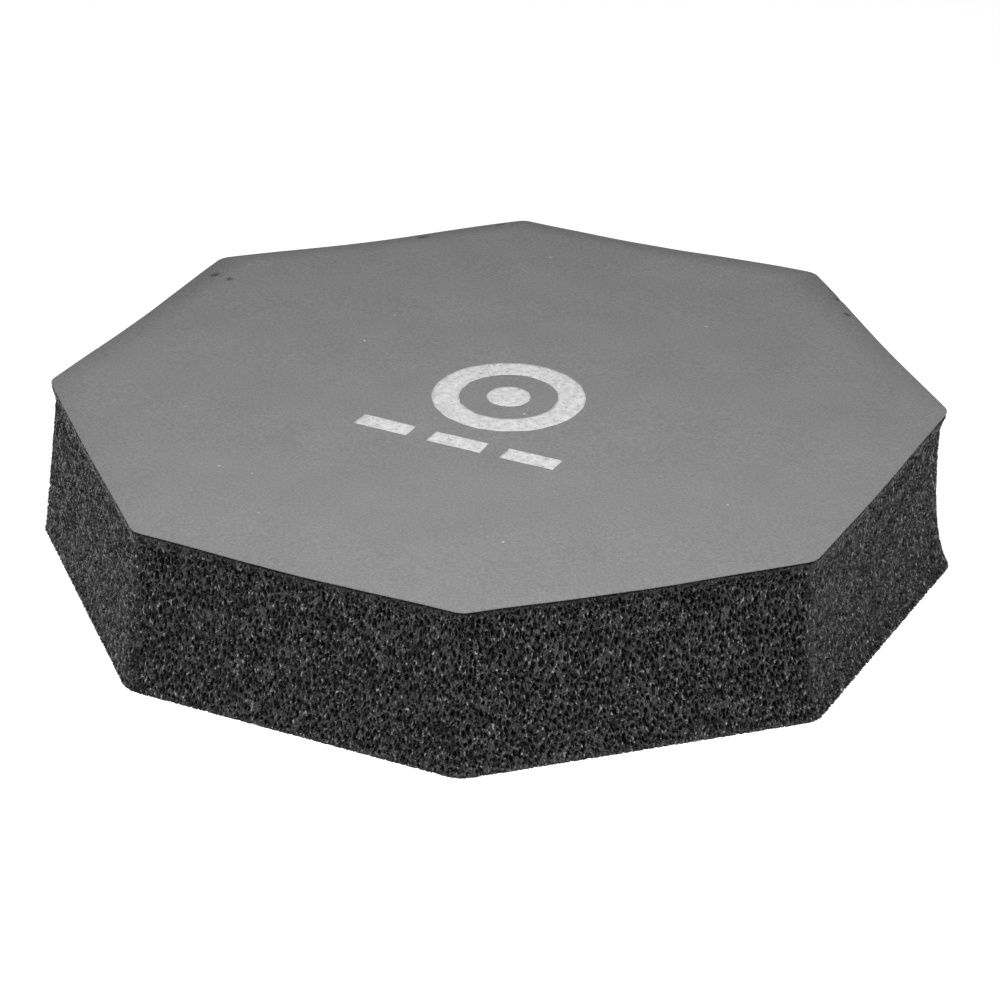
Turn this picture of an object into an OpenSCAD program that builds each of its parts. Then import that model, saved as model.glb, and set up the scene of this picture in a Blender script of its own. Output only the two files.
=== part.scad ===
/* [Foam block] */
// Number of sides of the pad, an even number
side_count = 8; // [6:2:12]
// Width of the foam across its flats where it meets the facing
top_w = 152; // [140:1:160]
// Width of the foam across its flats at the foot, which the cutting die leaves flared
foot_w = 157; // [153:1:165]
// How far the waist of each side lies inside the top edge
waist_depth = 0.7; // [0.3:0.1:1.5]
// Height of the waist above the foot
waist_z = 10; // [8:0.5:16]
// Height of the whole pad, from the foot to the top of the facing
pad_h = 29.5; // [24:0.5:40]
// Radius of the rounded corners
corner_r = 10; // [4:1:16]

/* [Facing] */
// Thickness of the smooth facing sheet
facing_t = 0.25; // [0.15:0.05:0.5]
// Thickness of the adhesive film that bonds the facing to the foam
bond_t = 0.15; // [0.1:0.05:0.3]
// How far the adhesive film stops short of the facing's edge
bond_inset = 0.6; // [0.3:0.1:2]

/* [Print] */
// Depth of the print, which lies flush in the facing
ink_t = 0.05; // [0.02:0.01:0.1]
// Outer diameter of the printed ring
ring_d = 28; // [20:1:36]
// Width of the ring's band
ring_band = 5; // [2:0.5:8]
// Diameter of the dot in the middle of the ring
dot_d = 8; // [4:0.5:9]
// Distance of the print's middle to the right of the pad's middle
print_x = 2.5; // [-10:0.5:10]
// Number of bars in the printed row
bar_count = 3; // [1:1:4]
// Length of one bar
bar_l = 10.5; // [4:0.5:12]
// Width of one bar
bar_w = 4; // [2:0.5:6]
// Space between two bars
bar_gap = 4; // [2:0.5:6]
// Distance from the ring's middle forward to the row of bars
bar_drop = 20.5; // [18:0.5:30]

/* [Hidden] */
$fn = 96;

side_turn = 360 / side_count;
half_turn = side_turn / 2;
foam_h = pad_h - facing_t - bond_t;
waist_reach = top_w / 2 - waist_depth;
foot_flare = foot_w / 2 - waist_reach;
upper_h = foam_h - waist_z;
// the corners' centres are the corners of a smaller outline, this far from the middle to its flats
core_flat = top_w / 2 - corner_r;
core_side = 2 * core_flat * tan(half_turn);
// a rounded corner reaches this much further from the middle than the flats beside it
corner_reach = (foot_w / 2 - corner_r) * (1 / cos(half_turn) - 1);
// a cut reaches this far past the face that it opens
clear = 1;

// Outline with sharp corners, one of them on the X axis, given its distance from the middle to a flat
module sharp_outline(flat_reach) {
    circle(r = flat_reach / cos(half_turn), $fn = side_count);
}

// Corner of a rectangle left by a round hollow, which is tangent to the rectangle's left side at its top
module flare_corner(depth, height) {
    hollow_r = (depth * depth + height * height) / (2 * depth);
    difference() {
        square([depth, height]);
        translate([hollow_r, height]) circle(r = hollow_r, $fn = 180);
    }
}

// Half of the foam's upright section through two opposite flats: foot, waist and top edge
module half_section() {
    square([waist_reach, foam_h]);
    translate([waist_reach, 0]) flare_corner(foot_flare, waist_z);
    translate([waist_reach, foam_h]) mirror([0, 1]) flare_corner(waist_depth, upper_h);
}

// Slab with one pair of opposite sides of the foam
module waisted_slab() {
    rotate([90, 0, 0]) linear_extrude(2 * foot_w, center = true) {
        half_section();
        mirror([1, 0]) half_section();
    }
}

// Sharp-cornered block, which is what the slabs of all pairs of sides have in common
module sharp_block() {
    intersection_for (i = [0 : side_count / 2 - 1]) rotate(i * side_turn) waisted_slab();
}

// Round body that blunts the corners between the sides
module corner_body() {
    rotate_extrude() {
        translate([corner_reach, 0]) half_section();
        square([corner_reach + clear, foam_h]);
    }
}

// Open-cell foam block with hollow, flared sides
module foam_core() {
    color([0.14, 0.14, 0.14]) intersection() {
        sharp_block();
        corner_body();
    }
}

// Flat layer with the foam's outline at its top, drawn in by inset all round
module pad_layer(thickness, inset) {
    rotate(half_turn) linear_extrude(thickness) union() {
        sharp_outline(core_flat);
        for (i = [0 : side_count - 1]) rotate(i * side_turn) {
            rotate(half_turn) translate([0, -core_side / 2]) square([top_w / 2 - inset, core_side]);
            translate([core_flat / cos(half_turn), 0]) circle(r = corner_r - inset);
        }
    }
}

// Ring with a dot in its middle
module emblem_shape() {
    difference() {
        circle(d = ring_d);
        circle(d = ring_d - 2 * ring_band);
    }
    circle(d = dot_d);
}

// Row of equal bars, centred on the ring
module bar_shapes() {
    bar_pitch = bar_l + bar_gap;
    for (i = [0 : bar_count - 1])
        translate([(i - (bar_count - 1) / 2) * bar_pitch, -bar_drop]) square([bar_l, bar_w], center = true);
}

// Layer of ink that lies flush in the top of the facing
module ink_layer(depth) {
    translate([print_x, 0, pad_h - ink_t]) linear_extrude(depth) children();
}

// Adhesive between the foam and the facing
module bond_film() {
    color([0.05, 0.05, 0.05]) translate([0, 0, foam_h]) pad_layer(bond_t, bond_inset);
}

// Smooth grey sheet on top of the foam, with shallow seats for the print
module facing_sheet() {
    color([0.5, 0.5, 0.5]) difference() {
        translate([0, 0, pad_h - facing_t]) pad_layer(facing_t, 0);
        ink_layer(ink_t + clear) emblem_shape();
        ink_layer(ink_t + clear) bar_shapes();
    }
}

// Plain printed ring and dot
module printed_emblem() {
    color([0.86, 0.86, 0.86]) ink_layer(ink_t) emblem_shape();
}

// Plain printed row of bars
module printed_bars() {
    color([0.86, 0.86, 0.86]) ink_layer(ink_t) bar_shapes();
}

foam_core();
bond_film();
facing_sheet();
printed_emblem();
printed_bars();
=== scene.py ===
"""Octagonal foam pad: a block of coarse open-cell foam with a smooth printed facing, on a pale studio floor.

Everything is in metres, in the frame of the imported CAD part: +Z up, the foot of the foam at z = 0 and one
flat of the octagon towards -Y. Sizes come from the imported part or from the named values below.
"""

import itertools
import math

import bpy
import numpy as np
from mathutils import Matrix, Vector


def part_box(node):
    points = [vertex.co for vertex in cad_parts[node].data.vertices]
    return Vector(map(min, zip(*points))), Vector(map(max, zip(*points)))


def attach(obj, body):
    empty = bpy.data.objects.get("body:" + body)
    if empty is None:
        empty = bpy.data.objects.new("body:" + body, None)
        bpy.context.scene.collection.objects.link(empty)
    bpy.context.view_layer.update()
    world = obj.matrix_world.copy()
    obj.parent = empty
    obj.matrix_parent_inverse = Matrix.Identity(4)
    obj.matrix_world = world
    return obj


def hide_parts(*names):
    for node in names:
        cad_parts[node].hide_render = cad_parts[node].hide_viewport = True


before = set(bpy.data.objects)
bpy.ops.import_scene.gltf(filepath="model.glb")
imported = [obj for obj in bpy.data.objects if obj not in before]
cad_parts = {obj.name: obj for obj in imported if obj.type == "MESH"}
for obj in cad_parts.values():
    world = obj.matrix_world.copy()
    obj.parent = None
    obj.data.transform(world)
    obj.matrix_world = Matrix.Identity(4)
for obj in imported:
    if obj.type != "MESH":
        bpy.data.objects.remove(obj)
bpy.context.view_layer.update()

MM = 0.001
SIDES = 8
SIDE_TURN = 2 * math.pi / SIDES

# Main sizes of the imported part
foam_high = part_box("foam_core")[1]
sheet_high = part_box("facing_sheet")[1]
emblem_low, emblem_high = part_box("printed_emblem")
bars_low, bars_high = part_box("printed_bars")
TOP_REACH = sheet_high.x
FOOT_REACH = foam_high.x
PAD_TOP = sheet_high.z
FOAM_TOP = foam_high.z
CORNER_R = 3.6 * MM
# The block is this share narrower across the viewer's line of sight
NARROWING = 0.004

# The facing and the film under it; the cutting die presses the rim down and rolls it over, most at the rear
SHEET_T = 0.25 * MM
BOND_T = 0.15 * MM
BOND_INSET = 0.3 * MM
RIM_SINK = 0.7 * MM
FRONT_ROLL, REAR_ROLL = 0.2 * MM, 2.4 * MM
FRONT_ROLL_WIDTH, REAR_ROLL_WIDTH = 4 * MM, 10 * MM
MIDSIDE_SAG = 0.5 * MM
SAG_WIDTH = 18 * MM
# Low waves in the film: heights, and lengths in two directions
LONG_WAVE_H, SHORT_WAVE_H = 0.05 * MM, 0.03 * MM
LONG_WAVE_X, LONG_WAVE_Y = 9 * MM, 11 * MM
SHORT_WAVE_U, SHORT_WAVE_V = 4.3 * MM, 5.1 * MM
# How far each corner stands up, in mm: anticlockwise, from the one right of the front flat
CORNER_LIFT = [0.1, 0.0, 1.1, 1.9, 0.4, 0.1, -0.3, 0.0]

# Dents in the facing: direction from the middle in degrees, inset from the edge, radius and depth in mm
DENTS = [
    (128, 3.9, 1.5, 0.6),
    (116, 3.0, 1.2, 0.4),
    (163, 4.2, 1.2, 0.5),
    (163, 8.2, 0.9, 0.35),
    (59, 0.9, 0.8, 0.3),
    (54, 1.8, 0.9, 0.3),
]

# Meshes of the facing and the film: spacing along the edge, and rings round the rim and inside it
SHEET_STEP = 0.7 * MM
BOND_STEP = 2 * MM
RIM_RINGS = 15
RIM_CROWDING = 1.6
INNER_RINGS = 100
INNERMOST_SHARE = 0.02

# Foam sides: how far the foot stands out, and how far the block leans towards the reference's viewer
FLARE = 0.8 * (FOOT_REACH - TOP_REACH)
FOOT_LEAN = 2.8 * MM
WAIST = 0.5 * MM
# The more a side is waisted, the closer to the foot it flares
WAISTED_FLARE = 5
# Set back under the facing, over this share of the height, and less towards the foot
RECESS = 0.9 * MM
RECESS_SHARE = 0.12
RECESS_FADE = 0.7

# Foam cells: longer upright, and the cut face is open to a certain depth
CELL = np.array([0.62, 0.62, 1.55]) * MM
CELL_REPEAT = (200, 200, 40)
FOAM_STEP = 0.15 * MM
OPEN_DEPTH = 1.3 * MM
MARCH_STEPS = 15
STRUT = 0.16
WALL = 0.035
WALLED_SHARE = 0.35
SIZE_SPREAD = 0.35
ROUNDING = 0.15 * MM
FOAM_SEED = 7
# Cells crushed by the die: how deep they stay open, and how high the crushed band is
TOP_CRUSH, TOP_CRUSH_H = 0.3, 1.8 * MM
FOOT_CRUSH, FOOT_CRUSH_H = 0.25, 1.0 * MM
# Painted shade: a crushed cell is still painted darker than it is deep
CRUSHED_PAINTED_SHADE = 0.6
# Painted shade: a dark band on the foam just under the facing
BAND_H = 3 * MM
BAND_PAINTED_SHADE = 0.28
# The foam's top lies a little under the film, and its sides end a little inside it
FILM_GAP = 0.3 * MM
EDGE_GAP, EDGE_GAP_H = 0.25 * MM, 0.5 * MM
CAP_RINGS = 12
CAP_INNERMOST = 0.04

# Print: thickness above and below the facing's surface, and meshes with ragged edges
INK_T = 0.03 * MM
INK_STEP = 0.5 * MM
INK_RINGS = 9
INK_INNERMOST = 0.05
RAGGED = 0.1 * MM
DOT_RAGGED = 0.08 * MM
DOT_POINTS = 60
INK_SEED = 3
# The ring's band and the dot as shares of the emblem's radius, and one bar as a share of its row
BAND_SHARE = 5 / 14
DOT_SHARE = 4 / 14
BARS = 3
BAR_SHARE = 10.5 / 39.5

# View of the reference: degrees, millimetres of lens, and the aim's distance and place in metres
VIEW_AZIMUTH = 26.03
VIEW_ELEVATION = 26.97
VIEW_DISTANCE = 0.725
VIEW_ROLL = 0.84
VIEW_LENS = 141.56
VIEW_AIM = Vector((0.92 * MM, 0.27 * MM, 7.98 * MM))

# Key light: place and aim as distances right, away and up in metres seen from the camera's side; size in
# metres, spread in degrees and power in watts
KEY_PLACE = (0.02, -0.2, 0.45)
KEY_AIM = (-0.02, -0.11, 0.03)
KEY_SIZE = 0.2
KEY_SPREAD = 92
KEY_POWER = 0.52
AIR_LIGHT = 0.28
FLOOR_REACH = 6.0

# Most of a noise texture's values lie in this span
NOISE_SPAN = (0.3, 0.7)


# ---------------------------------------------------------------- shape helpers

def smooth(t):
    """0 to 1 with level ends, for t from 0 to 1."""
    t = np.clip(t, 0, 1)
    return t * t * (3 - 2 * t)


def viewer_right():
    """Plan direction to the right of the reference's viewer."""
    turn = math.radians(VIEW_AZIMUTH)
    return np.array([math.cos(turn), math.sin(turn)])


def towards_viewer():
    """Plan direction towards the reference's viewer."""
    right = viewer_right()
    return np.array([right[1], -right[0]])


def outline(spacing):
    """The line of the corners' centres round the pad, and its outward normals, anticlockwise.

    A point of the facing's own outline is centre + normal * CORNER_R.
    """
    core = TOP_REACH - CORNER_R
    right = viewer_right()
    half_side = core * math.tan(SIDE_TURN / 2)
    flat_steps = round(2 * half_side / spacing)
    turn_steps = round(CORNER_R * SIDE_TURN / spacing)
    centres, normals = [], []
    for side in range(SIDES):
        direction = side * SIDE_TURN - math.pi / 2
        normal = np.array([math.cos(direction), math.sin(direction)])
        along = np.array([-normal[1], normal[0]])
        for t in np.linspace(-half_side, half_side, flat_steps, endpoint=False):
            centres.append(core * normal + t * along)
            normals.append(normal)
        for t in np.linspace(0, SIDE_TURN, turn_steps, endpoint=False):
            centres.append(core * normal + half_side * along)
            normals.append(np.array([math.cos(direction + t), math.sin(direction + t)]))
    centres = np.array(centres)
    centres -= NARROWING * (centres @ right)[:, None] * right
    return centres, np.array(normals)


def inset_of(x, y):
    """Distance inwards from the nearest flat of the facing."""
    right = viewer_right()
    wider = NARROWING * (x * right[0] + y * right[1])
    x = x + wider * right[0]
    y = y + wider * right[1]
    reach = np.full(np.shape(x), -1.0)
    for side in range(SIDES):
        direction = side * SIDE_TURN
        reach = np.maximum(reach, x * math.cos(direction) + y * math.sin(direction))
    return TOP_REACH - reach


def corner_lift(x, y):
    """How far the warped pad stands up in the direction of a point."""
    corner = np.arctan2(y, x) / SIDE_TURN + 1.5
    before = np.floor(corner).astype(int)
    lift = np.array(CORNER_LIFT) * MM
    share = smooth(corner - before)
    return lift[before % SIDES] * (1 - share) + lift[(before + 1) % SIDES] * share


def rearward(x, y):
    """0 at the side towards the reference's viewer, 1 at the far side."""
    right = viewer_right()
    return np.clip(0.5 + (y * right[0] - x * right[1]) / (2 * TOP_REACH), 0, 1) ** 2


def dent_share(dent, x, y):
    """1 in the middle of a dent, falling to 0 round it."""
    angle, inset, radius, _ = dent
    turn = math.radians(angle)
    # the flat's own distance grows towards its corners
    off_flat = (turn + SIDE_TURN / 2) % SIDE_TURN - SIDE_TURN / 2
    reach = (TOP_REACH - inset * MM) / math.cos(off_flat)
    away = (x - reach * math.cos(turn)) ** 2 + (y - reach * math.sin(turn)) ** 2
    return np.exp(-away / (radius * MM) ** 2)


def top_height(x, y, inset=None):
    """Height of the facing's upper side."""
    inset = inset_of(x, y) if inset is None else inset
    midside = 0.5 + 0.5 * np.cos(SIDES * np.arctan2(y, x))
    near_rim = 1 - smooth(inset / SAG_WIDTH)
    roll = FRONT_ROLL + (REAR_ROLL - FRONT_ROLL) * rearward(x, y)
    roll_width = FRONT_ROLL_WIDTH + (REAR_ROLL_WIDTH - FRONT_ROLL_WIDTH) * rearward(x, y)
    height = PAD_TOP - RIM_SINK + roll * (1 - np.clip(1 - inset / roll_width, 0, 1) ** 2)
    height = height + near_rim * (corner_lift(x, y) - MIDSIDE_SAG * midside)
    long_wave = np.sin(x / LONG_WAVE_X + 1.3) * np.sin(y / LONG_WAVE_Y + 0.4)
    short_wave = np.sin((x + y) / SHORT_WAVE_U) * np.sin((x - y) / SHORT_WAVE_V + 2)
    height = height + LONG_WAVE_H * long_wave + SHORT_WAVE_H * short_wave
    for dent in DENTS:
        height = height - dent[-1] * MM * dent_share(dent, x, y)
    return height


def rear_rim_shade_share(x, y):
    """0 where the film lies flat, up to 1 where it rolls over the rear rim: how much painted shade darkens
    it there.
    """
    return rearward(x, y) * np.clip(1 - inset_of(x, y) / REAR_ROLL_WIDTH, 0, 1)


def dent_shade_share(x, y):
    """Up to 1 in the dents, where the film is darkened by painted shade."""
    return np.max([dent_share(dent, x, y) for dent in DENTS], axis=0)


def ring_faces(rings, columns, closed=False):
    """Quads between neighbouring rings of points; closed also joins the last ring to the first."""
    ring = np.arange(rings if closed else rings - 1)[:, None]
    column = np.arange(columns)[None, :]
    next_ring = (ring + 1) % rings * columns
    next_column = (column + 1) % columns
    ring = ring * columns
    quads = [ring + column, ring + next_column, next_ring + next_column, next_ring + column]
    return np.stack(quads, axis=-1).reshape(-1, 4).tolist()


def mesh_object(name, points, faces, material):
    """A smooth-shaded mesh object."""
    mesh = bpy.data.meshes.new(name)
    mesh.from_pydata(points.tolist(), [], faces)
    mesh.polygons.foreach_set("use_smooth", [True] * len(mesh.polygons))
    mesh.materials.append(material)
    mesh.update()
    piece = bpy.data.objects.new(name, mesh)
    bpy.context.scene.collection.objects.link(piece)
    return piece


def add_attribute(piece, name, values):
    """One number for each point of a mesh, for its material to read."""
    attribute = piece.data.attributes.new(name, "FLOAT", "POINT")
    attribute.data.foreach_set("value", values.astype(np.float32))


def capped_stack(name, rings, material):
    """A closed mesh of stacked anticlockwise rings, with a point in the middle of the first and the last."""
    count, columns = rings.shape[:2]
    middles = np.array([rings[0].mean(0), rings[-1].mean(0)])
    low, high = count * columns, count * columns + 1
    faces = ring_faces(count, columns)
    last = (count - 1) * columns
    for i in range(columns):
        after = (i + 1) % columns
        faces.append([after, i, low])
        faces.append([last + i, last + after, high])
    return mesh_object(name, np.vstack([rings.reshape(-1, 3), middles]), faces, material)


def layer_rings(spacing, edge_inset, depth, thickness):
    """Rings of a thin layer that follows the facing: its upper side lies depth under the facing's own."""
    centres, normals = outline(spacing)
    insets = edge_inset + (CORNER_R - edge_inset) * np.linspace(0, 1, RIM_RINGS) ** RIM_CROWDING
    shares = np.linspace(1, INNERMOST_SHARE, INNER_RINGS)[1:]
    plan = [centres + normals * (CORNER_R - inset) for inset in insets]
    plan += [centres * share for share in shares]
    upper, lower = [], []
    for i, ring in enumerate(plan):
        inset = insets[i] if i < RIM_RINGS else None
        height = top_height(ring[:, 0], ring[:, 1], inset) - depth
        upper.append(np.c_[ring, height])
        lower.append(np.c_[ring, height - thickness])
    return np.array(lower[::-1] + upper)


# ---------------------------------------------------------------- open-cell foam

def near_cells(points, jitter):
    """Distances to the nearest three cell seeds, in cells, and the nearest cell's own random number."""
    scaled = points / CELL
    base = np.floor(scaled).astype(np.int64)
    size = np.array(jitter.shape[:3])
    first = np.full(len(points), 9.0)
    second = first.copy()
    third = first.copy()
    owner = np.zeros(len(points))
    for shift in itertools.product((-1, 0, 1), repeat=3):
        cell = base + np.array(shift)
        index = cell % size
        drawn = jitter[index[:, 0], index[:, 1], index[:, 2]]
        away = np.linalg.norm(scaled - cell - drawn[:, :3], axis=1) + SIZE_SPREAD * drawn[:, 4]
        owner = np.where(away < first, drawn[:, 3], owner)
        third = np.minimum(third, np.maximum(second, away))
        second = np.minimum(second, np.maximum(first, away))
        first = np.minimum(first, away)
    return first, second, third, owner


def solid_margin(points, jitter):
    """Above 0 inside the foam's struts and the walls that some cells keep, below 0 in the open."""
    first, second, third, owner = near_cells(points, jitter)
    strut = STRUT - (third - first)
    wall = WALL - (second - first)
    return np.where(owner < WALLED_SHARE, np.maximum(strut, wall), strut)


def open_depth(points, inwards):
    """How far in from each point of the cut face the first strut lies, up to OPEN_DEPTH."""
    rng = np.random.default_rng(FOAM_SEED)
    # for each cell: three parts of its seed's place, whether it keeps walls, and its size
    jitter = rng.random((*CELL_REPEAT, 5))
    step = OPEN_DEPTH / MARCH_STEPS
    depth = np.full(len(points), OPEN_DEPTH)
    left = np.arange(len(points))
    before = np.zeros(len(points))
    for i in range(MARCH_STEPS):
        margin = solid_margin(points[left] + inwards[left] * (i * step), jitter)
        hit = margin > 0
        if i > 0:
            back = margin[hit] / (margin[hit] - before[left[hit]])
            depth[left[hit]] = (i - back) * step
        else:
            # the cut struts are rounded
            depth[left[hit]] = ROUNDING * (1 - margin[hit] / STRUT) ** 2
        before[left] = margin
        left = left[~hit]
    return depth


def side_offset(normals, height):
    """How far the foam's side stands out from the facing's edge, by direction and height from 0 to 1."""
    waisted = 0.5 + 0.5 * (normals @ viewer_right())
    below = 1 - height
    waist = WAIST * waisted * math.sin(math.pi * height)
    recess = RECESS * smooth(below / RECESS_SHARE) * height ** RECESS_FADE
    return FLARE * below ** (1 + WAISTED_FLARE * waisted) - waist - recess


def smooth_sides(centres, normals, levels):
    """Rings of points up the foam's sides, before the cells are cut in."""
    rim = centres + CORNER_R * normals
    side_top = top_height(rim[:, 0], rim[:, 1], 0) - SHEET_T - BOND_T
    sides = []
    for level in levels:
        reach = CORNER_R + side_offset(normals, level)
        lean = FOOT_LEAN * (1 - level) * towards_viewer()
        sides.append(np.c_[centres + normals * reach[:, None] + lean, side_top * level])
    return np.array(sides)


def foam_foot(centres, normals):
    """Rings of the flat underside, from the middle outwards, moved with the foot."""
    lean = FOOT_LEAN * towards_viewer()
    plan = [centres * share for share in np.linspace(CAP_INNERMOST, 1, CAP_RINGS)]
    plan.append(centres + normals * CORNER_R)
    return [np.c_[ring + lean, np.zeros(len(ring))] for ring in plan]


def foam_cap(centres):
    """Rings of the foam's top, hidden under the film."""
    cap = []
    for share in np.linspace(1, CAP_INNERMOST, CAP_RINGS):
        ring = centres * share
        height = top_height(ring[:, 0], ring[:, 1]) - SHEET_T - BOND_T - FILM_GAP
        cap.append(np.c_[ring, height])
    return cap


def crushed(from_top, from_foot):
    """The share of their depth that the die has left the cells."""
    near_top = TOP_CRUSH + (1 - TOP_CRUSH) * smooth(from_top / TOP_CRUSH_H)
    near_foot = FOOT_CRUSH + (1 - FOOT_CRUSH) * smooth(from_foot / FOOT_CRUSH_H)
    return near_top * near_foot


def painted_shade_share(depth, crush, from_top):
    """Share of painted shade on the cut face: 0 on a strut, 1 in the deepest cell, and an even painted band
    of shade close under the facing.
    """
    share = depth / OPEN_DEPTH * (CRUSHED_PAINTED_SHADE + (1 - CRUSHED_PAINTED_SHADE) * crush)
    # Painted shade: an even dark band just under the facing
    painted_band = 1 - smooth(from_top / BAND_H)
    return share * (1 - painted_band) + BAND_PAINTED_SHADE * painted_band


def make_foam(material):
    """The foam block, with open cells cut into the mesh of its sides."""
    centres, normals = outline(FOAM_STEP)
    columns = len(centres)
    levels = np.linspace(0, 1, round(FOAM_TOP / FOAM_STEP) + 1)
    from_top = ((1 - levels) * FOAM_TOP)[:, None]
    from_foot = (levels * FOAM_TOP)[:, None]
    sides = smooth_sides(centres, normals, levels)
    inwards = np.tile(np.c_[-normals, np.zeros(columns)], (len(levels), 1))
    depth = open_depth(sides.reshape(-1, 3), inwards).reshape(len(levels), columns)
    crush = crushed(from_top, from_foot)
    edge_gap = EDGE_GAP * (1 - smooth(from_top / EDGE_GAP_H))
    sides += inwards.reshape(sides.shape) * (depth * crush + edge_gap)[..., None]
    foot = foam_foot(centres, normals)
    piece = capped_stack("foam_block", np.concatenate([foot, sides, foam_cap(centres)]), material)
    first_side = len(foot) * columns
    # Painted shade: the deeper a cell is open, the darker the material paints it
    painted_cell_shade = np.zeros(len(piece.data.vertices))
    painted_cell_shade[first_side : first_side + depth.size] = painted_shade_share(depth, crush, from_top).reshape(-1)
    add_attribute(piece, "painted_cell_shade", painted_cell_shade)
    # The underside attribute marks where the material paints shade in cells
    # the underside's middle is the last point but one
    underside = np.zeros(len(painted_cell_shade))
    underside[: first_side + columns] = 1
    underside[-2] = 1
    add_attribute(piece, "underside", underside)
    return piece


# ---------------------------------------------------------------- facing, film and print

def make_facing(material):
    """The smooth sheet, with its rim rolled over the foam."""
    piece = capped_stack("facing_film", layer_rings(SHEET_STEP, 0, 0, SHEET_T), material)
    points = np.empty(3 * len(piece.data.vertices), np.float32)
    piece.data.vertices.foreach_get("co", points)
    points = points.reshape(-1, 3)
    # Painted shade over the rear rim
    add_attribute(piece, "rear_rim_painted_shade", rear_rim_shade_share(points[:, 0], points[:, 1]))
    # Painted shade in the dents
    add_attribute(piece, "dent_painted_shade", dent_shade_share(points[:, 0], points[:, 1]))
    return piece


def make_bond(material):
    """The adhesive between the facing and the foam, a little short of the facing's edge."""
    return capped_stack("adhesive_film", layer_rings(BOND_STEP, BOND_INSET, SHEET_T, BOND_T), material)


def ragged(count, rng, size):
    """Closed smooth noise along an outline of count points."""
    noise = rng.normal(size=count)
    kernel = np.array([1, 2, 3, 2, 1]) / 9
    wrapped = np.concatenate([noise[-2:], noise, noise[:2]])
    return size * np.convolve(wrapped, kernel, "valid")


def ink_sides(plan):
    """Upper and lower rings of a layer of ink over rings of plan points, following the facing."""
    height = top_height(plan[..., 0], plan[..., 1])
    upper = np.concatenate([plan, (height + INK_T)[..., None]], axis=-1)
    lower = np.concatenate([plan, (height - INK_T)[..., None]], axis=-1)
    return upper, lower


def ink_island(name, rim, material):
    """A thin closed layer of ink inside a rim of plan points."""
    middle = rim.mean(0)
    shares = np.linspace(1, INK_INNERMOST, INK_RINGS)
    upper, lower = ink_sides(np.array([middle + (rim - middle) * share for share in shares]))
    return capped_stack(name, np.concatenate([lower[::-1], upper]), material)


def circle(count):
    """Unit vectors in plan, evenly spaced anticlockwise."""
    turn = np.linspace(0, 2 * math.pi, count, endpoint=False)
    return np.c_[np.cos(turn), np.sin(turn)]


def ink_ring(name, middle, inner, outer, rng, material):
    """A thin closed band of ink with ragged edges."""
    count = round(2 * math.pi * outer / INK_STEP)
    inner = inner + ragged(count, rng, RAGGED)
    outer = outer + ragged(count, rng, RAGGED)
    reaches = [inner + (outer - inner) * share for share in np.linspace(0, 1, INK_RINGS)]
    upper, lower = ink_sides(np.array([middle + circle(count) * reach[:, None] for reach in reaches]))
    rings = np.concatenate([lower, upper[::-1]])
    faces = ring_faces(len(rings), count, closed=True)
    return mesh_object(name, rings.reshape(-1, 3), faces, material)


def ink_dot(name, middle, reach, rng, material):
    """A round island of ink with a ragged edge."""
    edge = reach + ragged(DOT_POINTS, rng, DOT_RAGGED)
    return ink_island(name, middle + circle(DOT_POINTS) * edge[:, None], material)


def bar_rim(middle, length, width, rng):
    """Ragged outline of one bar."""
    across, up = round(length / INK_STEP), round(width / INK_STEP)
    corners = np.array([[-1, -1], [1, -1], [1, 1], [-1, 1]]) * [length / 2, width / 2]
    points = []
    for i, steps in enumerate((across, up, across, up)):
        start, end = corners[i], corners[(i + 1) % 4]
        points += [start + (end - start) * t for t in np.linspace(0, 1, steps, endpoint=False)]
    points = np.array(points)
    outward = points / np.linalg.norm(points, axis=1)[:, None]
    return middle + points + outward * ragged(len(points), rng, RAGGED)[:, None]


def make_print(material):
    """The printed ring, dot and bars."""
    rng = np.random.default_rng(INK_SEED)
    centre = np.array([(emblem_low.x + emblem_high.x) / 2, (emblem_low.y + emblem_high.y) / 2])
    reach = (emblem_high.x - emblem_low.x) / 2
    ring = ink_ring("print_ring", centre, reach * (1 - BAND_SHARE), reach, rng, material)
    dot = ink_dot("print_dot", centre, reach * DOT_SHARE, rng, material)
    row = bars_high.x - bars_low.x
    width = bars_high.y - bars_low.y
    length = row * BAR_SHARE
    pitch = (row - length) / (BARS - 1)
    row_y = (bars_high.y + bars_low.y) / 2
    bars = []
    for i in range(BARS):
        middle = np.array([centre[0] + (i - (BARS - 1) / 2) * pitch, row_y])
        bars.append(ink_island(f"print_bar_{i + 1}", bar_rim(middle, length, width, rng), material))
    return [ring, dot], bars


# ---------------------------------------------------------------- materials

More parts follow.
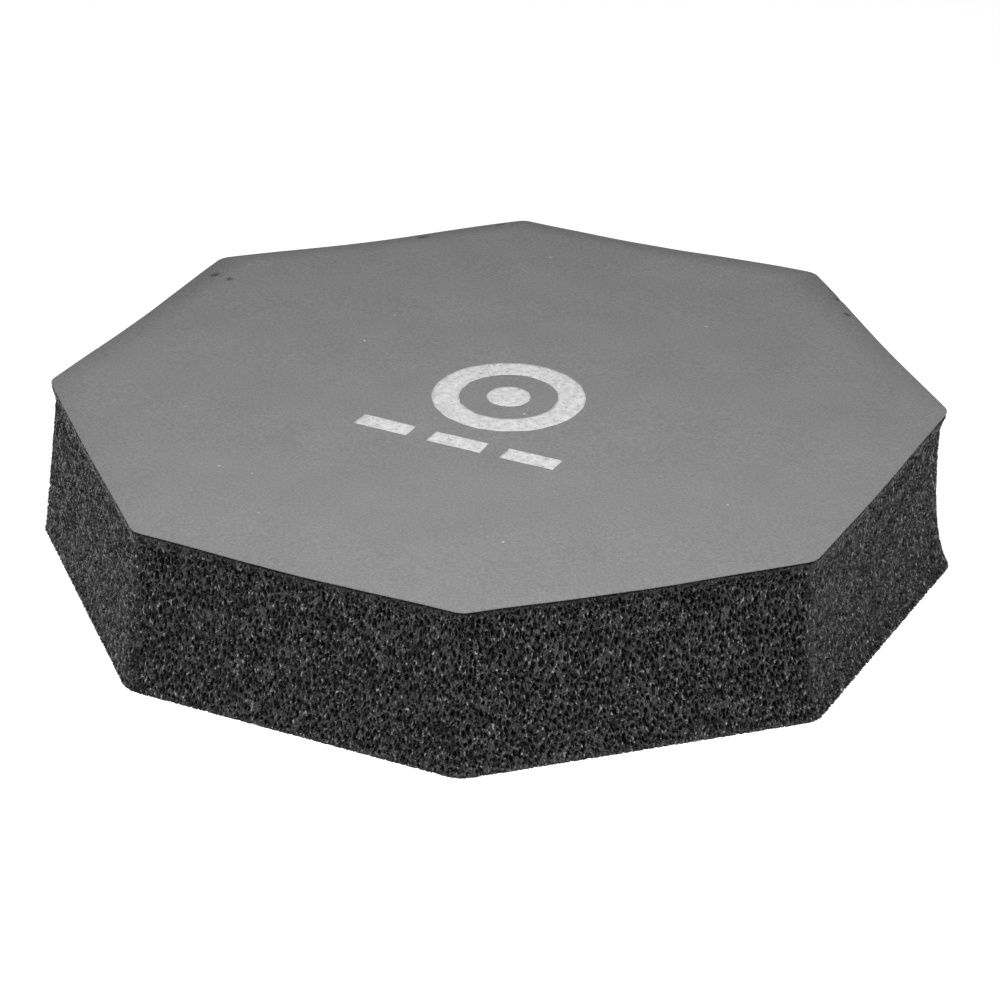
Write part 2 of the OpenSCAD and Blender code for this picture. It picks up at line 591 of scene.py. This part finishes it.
class Shader:
    """Short names for the nodes of one material."""

    def __init__(self, name, **constants):
        self.material = bpy.data.materials.new(name)
        self.material.use_nodes = True
        self.tree = self.material.node_tree
        self.surface = self.tree.nodes["Principled BSDF"]
        for socket, value in constants.items():
            self.surface.inputs[socket.replace("_", " ")].default_value = value
        self.place = self.tree.nodes.new("ShaderNodeTexCoord").outputs["Object"]

    def feed(self, source, target):
        """Gives an input socket another node's output, or a fixed value."""
        if isinstance(source, bpy.types.NodeSocket):
            self.tree.links.new(source, target)
        else:
            target.default_value = source

    def noise(self, scale, detail, upright=1.0):
        """Noise from 0 to 1; scale is in repeats per metre, and upright stretches it along Z."""
        stretch = self.tree.nodes.new("ShaderNodeMapping")
        self.feed((1, 1, 1 / upright), stretch.inputs["Scale"])
        self.feed(self.place, stretch.inputs["Vector"])
        node = self.tree.nodes.new("ShaderNodeTexNoise")
        self.feed(scale, node.inputs["Scale"])
        self.feed(detail, node.inputs["Detail"])
        self.feed(stretch.outputs["Vector"], node.inputs["Vector"])
        return node.outputs["Fac"]

    def cells(self, scale, feature="F1"):
        """Distance to the nearest of scattered points, or to the nearest wall between their cells."""
        node = self.tree.nodes.new("ShaderNodeTexVoronoi")
        node.feature = feature
        self.feed(scale, node.inputs["Scale"])
        self.feed(self.place, node.inputs["Vector"])
        return node.outputs["Distance"]

    def attribute(self, name):
        """A number kept at each point of the mesh."""
        node = self.tree.nodes.new("ShaderNodeAttribute")
        node.attribute_name = name
        return node.outputs["Fac"]

    def math(self, operation, a, b):
        """Arithmetic on two node outputs or numbers."""
        node = self.tree.nodes.new("ShaderNodeMath")
        node.operation = operation
        self.feed(a, node.inputs[0])
        self.feed(b, node.inputs[1])
        return node.outputs[0]

    def range(self, source, low, high, to_low=0.0, to_high=1.0):
        """Maps low..high of source to to_low..to_high, held at both ends."""
        node = self.tree.nodes.new("ShaderNodeMapRange")
        self.feed(source, node.inputs["Value"])
        self.feed(low, node.inputs["From Min"])
        self.feed(high, node.inputs["From Max"])
        self.feed(to_low, node.inputs["To Min"])
        self.feed(to_high, node.inputs["To Max"])
        return node.outputs["Result"]

    def spread(self, noise, to_low=0.0, to_high=1.0):
        """Noise stretched over to_low..to_high."""
        return self.range(noise, *NOISE_SPAN, to_low, to_high)

    def blend(self, first, share, second):
        """Two noises mixed by the first one's share."""
        first_part = self.math("MULTIPLY", first, share)
        second_part = self.math("MULTIPLY", second, 1 - share)
        return self.math("ADD", first_part, second_part)

    def mix(self, amount, a, b):
        """A colour from a to b."""
        node = self.tree.nodes.new("ShaderNodeMix")
        node.data_type = "RGBA"
        self.feed(amount, node.inputs["Factor"])
        self.feed(a, node.inputs["A"])
        self.feed(b, node.inputs["B"])
        return node.outputs["Result"]

    def grey_mix(self, amount, low, high):
        """A grey between two levels."""
        return self.mix(amount, (low, low, low, 1), (high, high, high, 1))

    def colour(self, source):
        """The surface's colour."""
        self.feed(source, self.surface.inputs["Base Color"])

    def roughness(self, noise, low, high):
        """The surface's roughness, mottled between two levels."""
        self.feed(self.spread(noise, low, high), self.surface.inputs["Roughness"])

    def bump(self, source, depth):
        """Surface relief of the given depth in metres."""
        node = self.tree.nodes.new("ShaderNodeBump")
        self.feed(1.0, node.inputs["Strength"])
        self.feed(depth, node.inputs["Distance"])
        self.feed(source, node.inputs["Height"])
        self.feed(node.outputs["Normal"], self.surface.inputs["Normal"])


def foam_material():
    """Charcoal foam: struts with small painted glints, and painted shade in the open cells and in the
    underside's cut cells.
    """
    s = Shader("charcoal_foam", Specular_IOR_Level=0.26)
    grain = s.blend(s.noise(2900, 2), 0.65, s.noise(260, 3))
    strut = s.grey_mix(s.range(grain, 0.4, 0.7), 0.01, 0.102)
    # Painted highlight: small bright glints painted into the struts' colour
    painted_glint = s.grey_mix(s.noise(500, 2), 0.22, 0.5)
    strut_with_painted_glint = s.mix(s.range(s.noise(2600, 2, upright=2.5), 0.6, 0.68), strut, painted_glint)
    # Painted shade: dark cells painted on the flat underside, which has none in its mesh
    off_walls = s.range(s.cells(1250, "DISTANCE_TO_EDGE"), 0.04, 0.2)
    underside_painted_cell_shade = s.math("MULTIPLY", s.attribute("underside"), off_walls)
    # Painted shade: darker the deeper the cells, and in the cells painted on the underside
    depth = s.math("MAXIMUM", s.range(s.attribute("painted_cell_shade"), 0.02, 0.38), underside_painted_cell_shade)
    painted_hollow_shade = s.grey_mix(s.noise(300, 2), 0.002, 0.006)
    s.colour(s.mix(depth, strut_with_painted_glint, painted_hollow_shade))
    s.roughness(s.noise(1500, 3), 0.14, 0.42)
    s.bump(s.noise(3000, 3), 0.13 * MM)
    return s.material


def facing_material():
    """Satin grey film: a faint grain, specks of dust, and painted shade over the rear rim and in the dents.
    """
    s = Shader("satin_grey_film", Specular_IOR_Level=0.02)
    grain = s.spread(s.noise(2300, 3))
    cloud = s.noise(70, 4)
    body = s.grey_mix(s.blend(grain, 0.62, cloud), 0.189, 0.315)
    dust = s.range(s.cells(110), 0.02, 0.04, 1.0, 0.0)
    speck = s.grey_mix(grain, 0.35, 0.6)
    # Painted shade: darker over the rear rim, which turns away from the light
    painted_rim_shade = s.grey_mix(grain, 0.15, 0.25)
    # Painted shade: darker in the dents
    painted_dent_shade = s.grey_mix(grain, 0.07, 0.13)
    film = s.mix(s.range(s.attribute("rear_rim_painted_shade"), 0.1, 0.6), body, painted_rim_shade)
    film = s.mix(s.range(s.attribute("dent_painted_shade"), 0.3, 0.8), film, painted_dent_shade)
    s.colour(s.mix(dust, film, speck))
    s.roughness(s.noise(900, 4), 0.5, 0.62)
    s.bump(s.noise(2200, 4), 0.012 * MM)
    return s.material


def ink_material():
    """Silver-white screen-print ink, mottled and worn through in small spots."""
    s = Shader("silver_white_ink", Specular_IOR_Level=0.4)
    mottle = s.noise(900, 4)
    body = s.grey_mix(s.spread(mottle), 0.58, 0.84)
    worn = s.range(s.noise(2000, 3), 0.32, 0.38, 1.0, 0.0)
    film = s.grey_mix(mottle, 0.24, 0.34)
    s.colour(s.mix(worn, body, film))
    s.roughness(s.noise(1500, 3), 0.45, 0.62)
    s.bump(s.noise(2500, 3), 0.02 * MM)
    return s.material


def bond_material():
    """Black adhesive film, seen only at its edge."""
    s = Shader("black_adhesive", Specular_IOR_Level=0.3)
    s.colour(s.grey_mix(s.noise(1200, 3), 0.004, 0.012))
    s.roughness(s.noise(800, 2), 0.5, 0.7)
    return s.material


def floor_material():
    """Pale studio floor that also shines a little, like a light table."""
    s = Shader("pale_floor", Roughness=0.8, Specular_IOR_Level=0.1, Emission_Strength=0.78)
    s.surface.inputs["Base Color"].default_value = (0.6, 0.6, 0.6, 1)
    s.surface.inputs["Emission Color"].default_value = (1, 1, 1, 1)
    return s.material


# ---------------------------------------------------------------- studio

def make_floor():
    """Large plain floor under the pad."""
    corners = FLOOR_REACH * np.array([[-1, -1, 0], [1, -1, 0], [1, 1, 0], [-1, 1, 0]])
    floor = mesh_object("studio_floor", corners, [[0, 1, 2, 3]], floor_material())


def view_place(azimuth, elevation, distance):
    """A point seen from VIEW_AIM at these angles; azimuth 0 is the front, towards -Y."""
    turn, rise = math.radians(azimuth), math.radians(elevation)
    level = distance * math.cos(rise)
    return VIEW_AIM + Vector((level * math.sin(turn), -level * math.cos(turn), distance * math.sin(rise)))


def seen_from_front(place):
    """The point at this distance right, away and up as seen from the camera's side."""
    return Matrix.Rotation(math.radians(VIEW_AZIMUTH), 3, "Z") @ Vector(place)


def aim_at(thing, target, roll=0.0):
    """Turns a lamp or camera towards a point."""
    turned = (target - thing.location).to_track_quat("-Z", "Y").to_matrix().to_4x4()
    turned = turned @ Matrix.Rotation(math.radians(roll), 4, "Z")
    thing.rotation_euler = turned.to_euler()


def make_softbox(name, place, aim, size, spread, power):
    """A square area lamp whose light narrows to a cone of spread degrees."""
    lamp = bpy.data.lights.new(name, "AREA")
    lamp.shape = "SQUARE"
    lamp.size = size
    lamp.energy = power
    lamp.spread = math.radians(spread)
    box = bpy.data.objects.new(name, lamp)
    bpy.context.scene.collection.objects.link(box)
    box.location = seen_from_front(place)
    aim_at(box, seen_from_front(aim))


def make_studio():
    """World light, key light, floor and plain tone mapping."""
    scene = bpy.context.scene
    scene.view_settings.view_transform = "Standard"
    world = bpy.data.worlds.new("studio_air")
    world.use_nodes = True
    air = world.node_tree.nodes["Background"]
    air.inputs["Color"].default_value = (1, 1, 1, 1)
    air.inputs["Strength"].default_value = AIR_LIGHT
    scene.world = world
    make_floor()
    make_softbox("key_softbox", KEY_PLACE, KEY_AIM, KEY_SIZE, KEY_SPREAD, KEY_POWER)


def make_camera():
    """Camera at the reference's angle."""
    lens = bpy.data.cameras.new("camera")
    lens.lens = VIEW_LENS
    lens.clip_end = 100
    camera = bpy.data.objects.new("camera", lens)
    bpy.context.scene.collection.objects.link(camera)
    camera.location = view_place(VIEW_AZIMUTH, VIEW_ELEVATION, VIEW_DISTANCE)
    aim_at(camera, VIEW_AIM, VIEW_ROLL)
    bpy.context.scene.camera = camera


# ---------------------------------------------------------------- assembly

make_camera()
make_studio()

foam = make_foam(foam_material())
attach(foam, "root")
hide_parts("foam_core")

facing = make_facing(facing_material())
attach(facing, "root")
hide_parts("facing_sheet")

bond = make_bond(bond_material())
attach(bond, "root")
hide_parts("bond_film")

ink = ink_material()
emblem_pieces, bar_pieces = make_print(ink)
for piece in emblem_pieces:
    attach(piece, "root")
    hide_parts("printed_emblem")
for piece in bar_pieces:
    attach(piece, "root")
    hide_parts("printed_bars")
